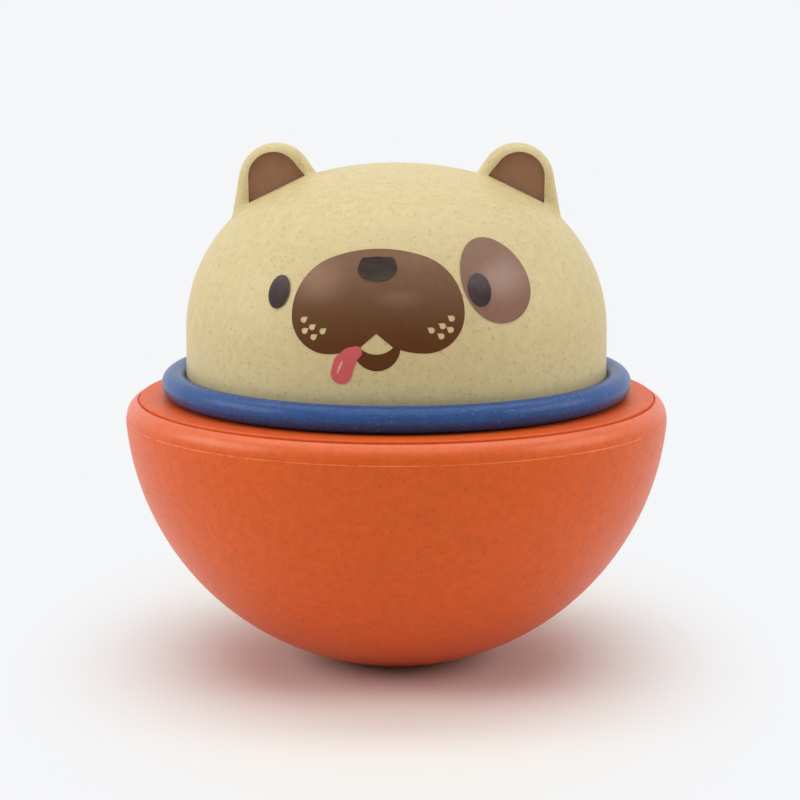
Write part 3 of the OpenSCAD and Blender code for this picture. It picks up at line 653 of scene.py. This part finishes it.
def make_grain():
    """Fine surface grain, as a value for roughness and a height, with its own scale and stretch."""
    tree, start, end = group_with(
        "surface_grain",
        (("Scale", "NodeSocketFloat", 1500.0), ("Detail", "NodeSocketFloat", 3.0),
         ("Stretch", "NodeSocketVector", (1.0, 1.0, 1.0)), ("Low", "NodeSocketFloat", 0.4),
         ("High", "NodeSocketFloat", 0.5)),
        (("Value", "NodeSocketFloat"), ("Height", "NodeSocketFloat")))
    given = start.outputs
    place = vector_node(tree, "MULTIPLY", own_place(tree), given["Stretch"])
    noise = add(tree, "ShaderNodeTexNoise", in_Vector=place, in_Scale=given["Scale"],
                in_Detail=given["Detail"])
    value = span(tree, noise.outputs["Fac"], *GRAIN_SPAN, given["Low"], given["High"])
    tree.links.new(value, end.inputs["Value"])
    tree.links.new(noise.outputs["Fac"], end.inputs["Height"])
    return tree


BREAK_SCALE = 210.0
BREAK_DETAIL = 4.0
BREAK_SPAN = (0.36, 0.6)


def make_flash():
    """A fine broken line round a moulding at one height."""
    tree, start, end = group_with(
        "mould_flash",
        (("Height", "NodeSocketFloat", 0.0), ("Half Width", "NodeSocketFloat", RIDGE_HALF_W * MM),
         ("Strength", "NodeSocketFloat", 0.5)),
        (("Mask", "NodeSocketFloat"),))
    given = start.outputs
    coords = own_place(tree)
    off = math_node(tree, "SUBTRACT", height_of(tree, coords), given["Height"])
    near = span(tree, math_node(tree, "ABSOLUTE", off), given["Half Width"], 0.0)
    breaks = add(tree, "ShaderNodeTexNoise", in_Vector=coords, in_Scale=BREAK_SCALE,
                 in_Detail=BREAK_DETAIL)
    share = span(tree, breaks.outputs["Fac"], *BREAK_SPAN)
    mask = math_node(tree, "MULTIPLY", near, share)
    mask = math_node(tree, "MULTIPLY", mask, given["Strength"], clamp=True)
    tree.links.new(mask, end.inputs["Mask"])
    return tree


def make_painted_highlight():
    """A soft oval painted highlight on a print, seen from the front, fading from its middle to its edge.
    """
    tree, start, end = group_with(
        "print_glow",
        (("Middle", "NodeSocketVector", (0.0, 0.0, 0.0)), ("Reach", "NodeSocketVector", (1.0, 1.0, 1.0)),
         ("Strength", "NodeSocketFloat", 0.3)),
        (("Mask", "NodeSocketFloat"),))
    given = start.outputs
    away = vector_node(tree, "SUBTRACT", own_place(tree), given["Middle"])
    far = length_of(tree, vector_node(tree, "DIVIDE", away, given["Reach"]))
    mask = math_node(tree, "MULTIPLY", span(tree, far, 1.0, 0.0), given["Strength"])
    tree.links.new(mask, end.inputs["Mask"])
    return tree


HUSK = make_husk_speckle()
GRAIN = make_grain()
FLASH = make_flash()
# Soft pale patches painted onto the prints as highlights
HIGHLIGHT_PAINT = make_painted_highlight()

# Finishes: tints, the rim's polish, scales of grain per metre and heights of bumps in metres
WHITE = (1.0, 1.0, 1.0, 1.0)
WARM_SHEEN = (1.0, 0.85, 0.5, 1.0)
FLASH_COLOUR = (0.9, 0.42, 0.2, 1.0)
FLASH_STRENGTH = 0.7
RIM_POLISH = 0.42
RIM_POLISH_DROP = 1.5
RIM_COAT_ROUGH = 0.34
PLASTIC_GRAIN = 900.0
PLASTIC_BUMP = 0.00002
INK_SPECULAR = 0.06
INK_ROUGH = (0.42, 0.54)
INK_GRAIN = 1800.0
INK_BUMP = 0.00001
STROKE_SCALE = 700.0
STROKE_DETAIL = 4.0
DEPTH_REACH = 1.0
TONE_DETAIL = 5.0
FINER_GRAIN = 1.7
EVEN = (1.0, 1.0, 1.0)


def start_material(name, specular=0.5):
    """A new material with its node tree and its shader."""
    material = bpy.data.materials.new(name)
    material.use_nodes = True
    shader = material.node_tree.nodes["Principled BSDF"]
    shader.inputs["Specular IOR Level"].default_value = specular
    return material, material.node_tree, shader


def add_group(tree, group, **values):
    """A shader group with its own values, each named like its socket with underscores for spaces."""
    node = tree.nodes.new("ShaderNodeGroup")
    node.node_tree = group
    for key, value in values.items():
        node.inputs[key.replace("_", " ")].default_value = value
    return node


def add_bump(tree, shader, height, distance):
    """Raises the surface by a height."""
    bump = add(tree, "ShaderNodeBump", in_Height=height, in_Strength=1.0, in_Distance=distance)
    tree.links.new(bump.outputs["Normal"], shader.inputs["Normal"])


def husk_plastic(name, rough, specular, rim=False, sheen=WHITE, **values):
    """Satin speckled moulding; the bowl's has a pale line of flash at its parting and a smoother rim."""
    material, tree, shader = start_material(name, specular)
    shader.inputs["Specular Tint"].default_value = sheen
    husk = add_group(tree, HUSK, **values)
    colour = husk.outputs["Color"]
    if rim:
        line = add_group(tree, FLASH, Height=DECK_Z - PARTING_DROP * MM, Strength=FLASH_STRENGTH)
        colour = blend_colour(tree, line.outputs["Mask"], colour, FLASH_COLOUR)
        polish = span(tree, height_of(tree, own_place(tree)), DECK_Z - RIM_ROUND * MM,
                      DECK_Z - RIM_POLISH_DROP * MM, 0.0, RIM_POLISH)
        tree.links.new(polish, shader.inputs["Coat Weight"])
        shader.inputs["Coat Roughness"].default_value = RIM_COAT_ROUGH
    tree.links.new(colour, shader.inputs["Base Color"])
    grain = add_group(tree, GRAIN, Scale=PLASTIC_GRAIN, Low=rough[0], High=rough[1])
    tree.links.new(grain.outputs["Value"], shader.inputs["Roughness"])
    add_bump(tree, shader, husk.outputs["Grain"], PLASTIC_BUMP)
    return material


def ink(name, top, low, z_low, z_high, painted_highlights=(), highlight_colour=None, brush=EVEN, streak=0.05):
    """Printed ink whose colour changes from its top to its foot, partly a printed gradient and partly
    painted shade and sheen, with soft painted highlights and faint brushed streaks.
    """
    material, tree, shader = start_material(name, INK_SPECULAR)
    height = height_of(tree, own_place(tree))
    # The change from top to foot is partly printed and partly painted shade and sheen
    fade = span(tree, height, DECK_Z + z_low * MM, DECK_Z + z_high * MM)
    colour = blend_colour(tree, fade, low, top)
    # Painted highlights: soft pale patches in the ink where the lamps' sheen would fall
    for x, z, reach_x, reach_z, strength in painted_highlights:
        glow = add_group(tree, HIGHLIGHT_PAINT, Middle=(x * MM, 0.0, DECK_Z + z * MM),
                         Reach=(reach_x * MM, DEPTH_REACH, reach_z * MM), Strength=strength)
        colour = blend_colour(tree, glow.outputs["Mask"], colour, highlight_colour)
    strokes = add_group(tree, GRAIN, Scale=STROKE_SCALE, Detail=STROKE_DETAIL, Stretch=brush,
                        Low=1.0 - streak, High=1.0 + streak)
    colour = vector_node(tree, "SCALE", colour, strokes.outputs["Value"])
    tree.links.new(colour, shader.inputs["Base Color"])
    grain = add_group(tree, GRAIN, Scale=INK_GRAIN, Low=INK_ROUGH[0], High=INK_ROUGH[1])
    tree.links.new(grain.outputs["Value"], shader.inputs["Roughness"])
    add_bump(tree, shader, grain.outputs["Height"], INK_BUMP)
    return material


def plain_grained(name, a, b, rough, scale, bump, stretch=EVEN, metal=0.0):
    """Two close colours in a grain, for the inner works."""
    material, tree, shader = start_material(name)
    shader.inputs["Metallic"].default_value = metal
    tone = add_group(tree, GRAIN, Scale=scale, Detail=TONE_DETAIL, Stretch=stretch, Low=0.0, High=1.0)
    tree.links.new(blend_colour(tree, tone.outputs["Value"], a, b), shader.inputs["Base Color"])
    grain = add_group(tree, GRAIN, Scale=scale * FINER_GRAIN, Stretch=stretch,
                      Low=rough[0], High=rough[1])
    tree.links.new(grain.outputs["Value"], shader.inputs["Roughness"])
    add_bump(tree, shader, grain.outputs["Height"], bump)
    return material


ORANGE_SPECKLE = dict(
    Ground=(0.76, 0.106, 0.0155, 1), Fleck=(0.46, 0.049, 0.009, 1), Pale=(0.82, 0.16, 0.038, 1),
    Cells=1250.0, Fleck_Size=0.62, Fleck_Strength=0.42, Pale_Size=0.5, Pale_Strength=0.22, Mottle=0.05)
ORANGE = husk_plastic("orange_husk", rough=(0.34, 0.42), specular=0.42, rim=True, sheen=WARM_SHEEN,
                      **ORANGE_SPECKLE)
ORANGE_DECK = husk_plastic("orange_husk_matt", rough=(0.42, 0.52), specular=0.42, sheen=WARM_SHEEN,
                           **ORANGE_SPECKLE)
CREAM = husk_plastic(
    "cream_husk", rough=(0.40, 0.50), specular=0.3,
    Ground=(0.688, 0.563, 0.292, 1), Fleck=(0.42, 0.235, 0.09, 1), Pale=(0.74, 0.62, 0.38, 1),
    Cells=1400.0, Fleck_Size=0.56, Fleck_Strength=0.52, Pale_Size=0.45, Pale_Strength=0.2, Mottle=0.04)
BLUE = husk_plastic(
    "blue_husk", rough=(0.26, 0.36), specular=0.24,
    Ground=(0.026, 0.082, 0.262, 1), Fleck=(0.018, 0.045, 0.15, 1), Pale=(0.2, 0.34, 0.6, 1),
    Cells=1700.0, Fleck_Size=0.5, Fleck_Strength=0.5, Pale_Size=0.52, Pale_Strength=0.4, Mottle=0.1,
    Stretch=(0.5, 0.5, 1.2))

# Inks: colours at the top and the foot, partly printed and partly painted shade and sheen, the heights
# between which they change, and soft painted highlights, each given by its place across and up, its
# reach across and up, and its strength
BROWN_INK = ink("brown_ink", rgb(133, 102, 80), rgb(98, 60, 32), z_low=15.5, z_high=35.5,
                painted_highlights=((-15.5, 29.3, 8.5, 6.5, 0.5), (0.5, 25.7, 6.5, 2.6, 0.2),
                       (4.0, 33.0, 6.0, 3.5, 0.12)),
                highlight_colour=rgb(178, 142, 120))
EAR_INK = ink("inner_ear_ink", rgb(155, 115, 91), rgb(160, 121, 98), z_low=40.0, z_high=50.0)
TAUPE_INK = ink("taupe_ink", rgb(147, 117, 99), rgb(143, 107, 92), z_low=21.0, z_high=36.0,
                painted_highlights=((20.3, 28.7, 7.5, 5.6, 0.4),), highlight_colour=rgb(205, 178, 166))
BLACK_INK = ink("black_ink", rgb(101, 88, 90), rgb(68, 55, 56), z_low=24.5, z_high=30.5,
                brush=(1.6, 1.0, 0.5), streak=0.14)
NOSE_INK = ink("charcoal_ink", rgb(61, 49, 47), rgb(75, 67, 57), z_low=28.0, z_high=33.5,
               brush=(0.35, 1.0, 1.6), streak=0.32)
LIP_INK = ink("dark_brown_ink", rgb(98, 59, 29), rgb(96, 57, 28), z_low=11.0, z_high=17.0)
TONGUE_INK = ink("pink_ink", rgb(214, 100, 103), rgb(214, 98, 101), z_low=9.0, z_high=17.0)
SHINE_INK = ink("pale_pink_ink", rgb(240, 165, 164), rgb(236, 158, 158), z_low=9.0, z_high=17.0)

NYLON = plain_grained("natural_nylon", rgb(232, 229, 219), rgb(222, 218, 205), rough=(0.40, 0.52),
                      scale=700.0, bump=0.00002)
IRON = plain_grained("cast_iron", rgb(74, 74, 76), rgb(98, 96, 95), rough=(0.55, 0.75),
                     scale=900.0, bump=0.00012, metal=0.9)
STEEL = plain_grained("zinc_steel", rgb(186, 188, 192), rgb(170, 172, 176), rough=(0.28, 0.42),
                      scale=1200.0, bump=0.00001, stretch=(1.0, 1.0, 0.2), metal=1.0)
CHIME_STEEL = plain_grained("drawn_steel", rgb(206, 207, 210), rgb(190, 192, 196), rough=(0.16, 0.28),
                            scale=1600.0, bump=0.000006, stretch=(1.0, 1.0, 0.06), metal=1.0)
BEECH = plain_grained("turned_beech", rgb(206, 168, 120), rgb(180, 138, 92), rough=(0.42, 0.58),
                      scale=420.0, bump=0.00003, stretch=(1.0, 1.0, 0.14))

SLOT_FINISH = {
    "orange_plastic": ORANGE, "cream_plastic": CREAM, "blue_plastic": BLUE, "nylon": NYLON,
    "ballast_iron": IRON, "steel": STEEL, "chime_steel": CHIME_STEEL, "ball_wood": BEECH,
    "brown_ink": BROWN_INK, "taupe_ink": TAUPE_INK, "black_ink": BLACK_INK,
    "dark_brown_ink": LIP_INK, "pink_ink": TONGUE_INK, "pale_pink_ink": SHINE_INK,
}


def dress(obj, material):
    """Gives an object one material."""
    obj.data.materials.clear()
    obj.data.materials.append(material)


for row in frame["record"]["subparts"]:
    dress(nodes[row["node"]], SLOT_FINISH[row["material_slot"]])
dress(nodes["ear_prints"], EAR_INK)
dress(nodes["nose_print"], NOSE_INK)
dress(nodes["deck"], ORANGE_DECK)

bowl = make_bowl()
dress(bowl, ORANGE)
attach(bowl, "base")
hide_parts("bowl")

head = make_head()
dress(head, CREAM)
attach(head, "head")
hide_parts("head_shell")

# The studio: a wide pale floor that runs into the backdrop, soft boxes on both sides, above and in
# front, and the camera

# Rings of the floor's mesh in millimetres from the axis. The paper fades out between two distances in
# metres, which the oval draws in across and lets out to the front and back
FLOOR_RINGS = (0.0, 50.0, 120.0, 300.0, 700.0, 2000.0, 8000.0)
FLOOR_TURNS = 64
NEAR_FLOOR = 0.045
FAR_FLOOR = 0.13
FLOOR_OVAL = (1.6, 0.85, 1.0)
BACKDROP = (0.915, 0.922, 0.938, 1.0)
# Off-white paper with a warm tint that is painted bounce light, warming the toy's shadow as the orange
# bowl's light would
PAPER_WITH_PAINTED_BOUNCE = (0.84, 0.82, 0.77, 1.0)


def seen_rays(tree):
    """One for rays that show the backdrop itself or its mirror image, zero for rays that light."""
    path = add(tree, "ShaderNodeLightPath")
    seen = math_node(tree, "MAXIMUM", path.outputs["Is Camera Ray"], path.outputs["Is Glossy Ray"])
    return math_node(tree, "MAXIMUM", seen, path.outputs["Is Transmission Ray"])


def make_floor():
    """Paper under the toy that keeps its shadow and turns into the backdrop over an oval edge; the
    paper's warm tint is painted bounce light from the orange bowl.
    """
    floor = lathe("studio_floor", [(r, -DECK_Z / MM) for r in FLOOR_RINGS], FLOOR_TURNS)
    floor.data.flip_normals()
    material = bpy.data.materials.new("paper_floor")
    material.use_nodes = True
    tree = material.node_tree
    tree.nodes.clear()
    far = length_of(tree, vector_node(tree, "MULTIPLY", own_place(tree), FLOOR_OVAL))
    # The paper's warm tint is painted bounce light
    paper = add(tree, "ShaderNodeBsdfDiffuse", in_Color=PAPER_WITH_PAINTED_BOUNCE)
    glow = add(tree, "ShaderNodeEmission", in_Color=BACKDROP, in_Strength=1.0)
    share = math_node(tree, "MULTIPLY", span(tree, far, NEAR_FLOOR, FAR_FLOOR), seen_rays(tree))
    mix = add(tree, "ShaderNodeMixShader", in_0=share, in_1=paper.outputs[0], in_2=glow.outputs[0])
    add(tree, "ShaderNodeOutputMaterial", in_Surface=mix.outputs[0])
    dress(floor, material)


WORLD_LIGHT = 0.33
# Each box: its name, place and size in metres, and power in watts
SOFT_BOXES = (
    ("left_box", (-0.75, -0.1, 0.4), (0.6, 0.4), 2.5),
    ("right_box", (0.75, -0.1, 0.4), (0.6, 0.4), 1.85),
    ("overhead_box", (0.0, 0.2, 0.93), (1.5, 0.4), 3.9),
    ("front_box", (0.0, -0.35, 0.9), (0.9, 0.5), 2.3),
)


def make_lights():
    """An even pale surround and the soft boxes, aimed at the middle of the deck."""
    world = bpy.data.worlds.new("studio")
    bpy.context.scene.world = world
    world.use_nodes = True
    tree = world.node_tree
    tree.nodes.clear()
    light = add(tree, "ShaderNodeBackground", in_Color=WHITE, in_Strength=WORLD_LIGHT)
    sky = add(tree, "ShaderNodeBackground", in_Color=BACKDROP, in_Strength=1.0)
    mix = add(tree, "ShaderNodeMixShader", in_0=seen_rays(tree), in_1=light.outputs[0],
              in_2=sky.outputs[0])
    add(tree, "ShaderNodeOutputWorld", in_Surface=mix.outputs[0])
    aim = Vector((0.0, 0.0, DECK_Z))
    for name, spot, size, power in SOFT_BOXES:
        data = bpy.data.lights.new(name, "AREA")
        data.shape = "RECTANGLE"
        data.size, data.size_y = size
        data.energy = power
        lamp = link(bpy.data.objects.new(name, data))
        lamp.location = spot
        lamp.rotation_euler = (aim - Vector(spot)).to_track_quat("-Z", "Y").to_euler()


# The photo's camera, straight in front: the middle of the deck falls on the centre pixel
CAMERA_ELEVATION = math.radians(9.95)
CAMERA_DISTANCE = 0.770
CAMERA_CLIP = (0.05, 50.0)
SENSOR_W = 36.0
FOCAL_PIXELS = 3793.0
PICTURE = 800.0
CENTRE_PIXEL = (396.5, 394.8)


def make_camera():
    """The photo's view."""
    data = bpy.data.cameras.new("camera")
    data.sensor_width = SENSOR_W
    data.lens = FOCAL_PIXELS / PICTURE * SENSOR_W
    data.clip_start, data.clip_end = CAMERA_CLIP
    camera = link(bpy.data.objects.new("camera", data))
    way = Vector((0.0, -math.cos(CAMERA_ELEVATION), math.sin(CAMERA_ELEVATION)))
    centre = Vector((0.0, 0.0, DECK_Z))
    camera.location = centre + way * CAMERA_DISTANCE
    right = Vector((1.0, 0.0, 0.0))
    up = right.cross(-way)
    scale = CAMERA_DISTANCE / FOCAL_PIXELS
    aim = centre + right * (PICTURE / 2 - CENTRE_PIXEL[0]) * scale
    aim += up * (CENTRE_PIXEL[1] - PICTURE / 2) * scale
    camera.rotation_euler = (aim - camera.location).to_track_quat("-Z", "Y").to_euler()
    bpy.context.scene.camera = camera


make_floor()
make_lights()
make_camera()
bpy.context.scene.view_settings.view_transform = "Standard"
